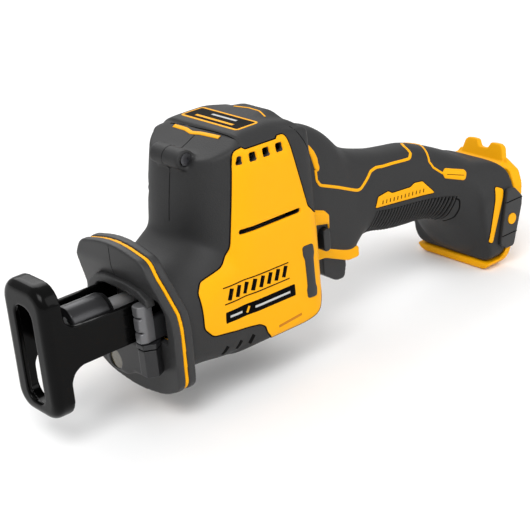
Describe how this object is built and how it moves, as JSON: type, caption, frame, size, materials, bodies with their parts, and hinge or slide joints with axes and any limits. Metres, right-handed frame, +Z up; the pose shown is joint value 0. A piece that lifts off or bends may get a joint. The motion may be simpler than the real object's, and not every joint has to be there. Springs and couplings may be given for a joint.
{
  "type": "cordless reciprocating saw",
  "caption": "Compact one-handed cordless reciprocating saw, bare tool: vertical motor tower, pistol grip, guarded nose, slotted shoe, geared crank drive and battery receiver.",
  "frame": {"origin": "middle of the footprint, at the lowest point of the foot", "axes": "-X to the cutting end, +X to the battery foot, +Z up, -Y the tool's left side"},
  "size_m": [0.318, 0.072, 0.1315],
  "materials": {
    "shell_yellow": "moulded, satin",
    "receiver_yellow": "moulded, satin",
    "button_yellow": "moulded, satin",
    "overmold_rubber": "fine matte texture",
    "guard_rubber": "fine matte texture",
    "label_black": "smooth",
    "black_steel": "gloss black",
    "fastener_steel": "oiled",
    "plunger_steel": "ground",
    "collar_metal": "black oxide",
    "lever_metal": "light grey",
    "block_aluminium": "cast",
    "bushing_bronze": "sintered",
    "gear_steel": "hardened",
    "stator_copper": "laminated stack with windings",
    "rotor_steel": "laminated stack",
    "inner_plastic": "black",
    "control_plastic": "dark grey",
    "board_green": "solder mask",
    "terminal_brass": "plated",
    "led_clear": "clear"
  },
  "bodies": {
    "housing": {"left_shell": "shell_yellow", "right_shell": "shell_yellow", "left_overmold": "overmold_rubber", "right_overmold": "overmold_rubber", "left_label": "label_black", "right_label": "label_black", "top_badge": "label_black", "case_screws": "fastener_steel", "guard_front": "guard_rubber", "guard_rim": "shell_yellow", "guard_rear": "guard_rubber", "shoe": "black_steel", "shoe_screws": "fastener_steel", "nose_block": "block_aluminium", "rear_block": "block_aluminium", "gear_case": "block_aluminium", "battery_receiver": "receiver_yellow", "terminal_block": "inner_plastic", "battery_terminals": "terminal_brass", "left_foot_pad": "overmold_rubber", "right_foot_pad": "overmold_rubber", "left_side_strip": "overmold_rubber", "right_side_strip": "overmold_rubber", "left_pad_plug": "shell_yellow", "right_pad_plug": "shell_yellow", "front_bushing": "bushing_bronze", "rear_bushing": "bushing_bronze", "front_seal": "guard_rubber", "crank_bearing": "gear_steel", "lower_bearing": "gear_steel", "upper_bearing": "gear_steel", "motor_cap": "block_aluminium", "motor_stator": "stator_copper", "switch_module": "inner_plastic", "control_board": "board_green", "led_lens": "led_clear", "led_board": "board_green", "led_housing": "control_plastic", "lever_pin": "fastener_steel", "lever_spring": "fastener_steel"},
    "plunger_unit": {"plunger": "plunger_steel", "yoke_roller": "bushing_bronze", "clamp_pin": "fastener_steel", "clamp_spring": "fastener_steel"},
    "collar_unit": {"clamp_collar": "collar_metal"},
    "crank_unit": {"crank_gear": "gear_steel"},
    "rotor_unit": {"rotor": "rotor_steel", "pinion": "gear_steel", "fan": "inner_plastic"},
    "lever_unit": {"release_lever": "lever_metal"},
    "trigger_unit": {"trigger": "control_plastic"},
    "lock_unit": {"lock_off_button": "button_yellow"}
  },
  "joints": [
    {"name": "rotor_spin", "type": "hinge", "parent": "housing", "child": "rotor_unit", "pos_m": [-0.031, 0, 0.1], "axis": [0, 0, 1], "continuous": true},
    {"name": "crank_spin", "type": "hinge", "parent": "housing", "child": "crank_unit", "pos_m": [-0.0534, 0, 0.068], "axis": [0, 0, 1], "continuous": true},
    {"name": "plunger_slide", "type": "slide", "parent": "housing", "child": "plunger_unit", "axis": [1, 0, 0], "range_m": [-0.008, 0.008]},
    {"name": "collar_turn", "type": "hinge", "parent": "plunger_unit", "child": "collar_unit", "pos_m": [-0.126, 0, 0.058], "axis": [1, 0, 0], "range_deg": [0, 40], "stiffness_Nm_per_rad": 0.02, "springref_deg": -11.46},
    {"name": "lever_swing", "type": "hinge", "parent": "housing", "child": "lever_unit", "pos_m": [-0.095, -0.0225, 0.055], "axis": [0, 0, 1], "range_deg": [0, 25], "stiffness_Nm_per_rad": 0.05, "springref_deg": -11.46},
    {"name": "trigger_slide", "type": "slide", "parent": "housing", "child": "trigger_unit", "axis": [0.436, 0, 0.9], "range_m": [0, 0.0055], "stiffness_N_per_m": 900, "springref_m": -0.0015},
    {"name": "lock_off_slide", "type": "slide", "parent": "housing", "child": "lock_unit", "axis": [0, 1, 0], "range_m": [0, 0.0045], "stiffness_N_per_m": 300, "springref_m": -0.0015}
  ],
  "couplings": [
    {"joint": "crank_spin", "follows": "rotor_spin", "ratio": -0.23077}
  ]
}
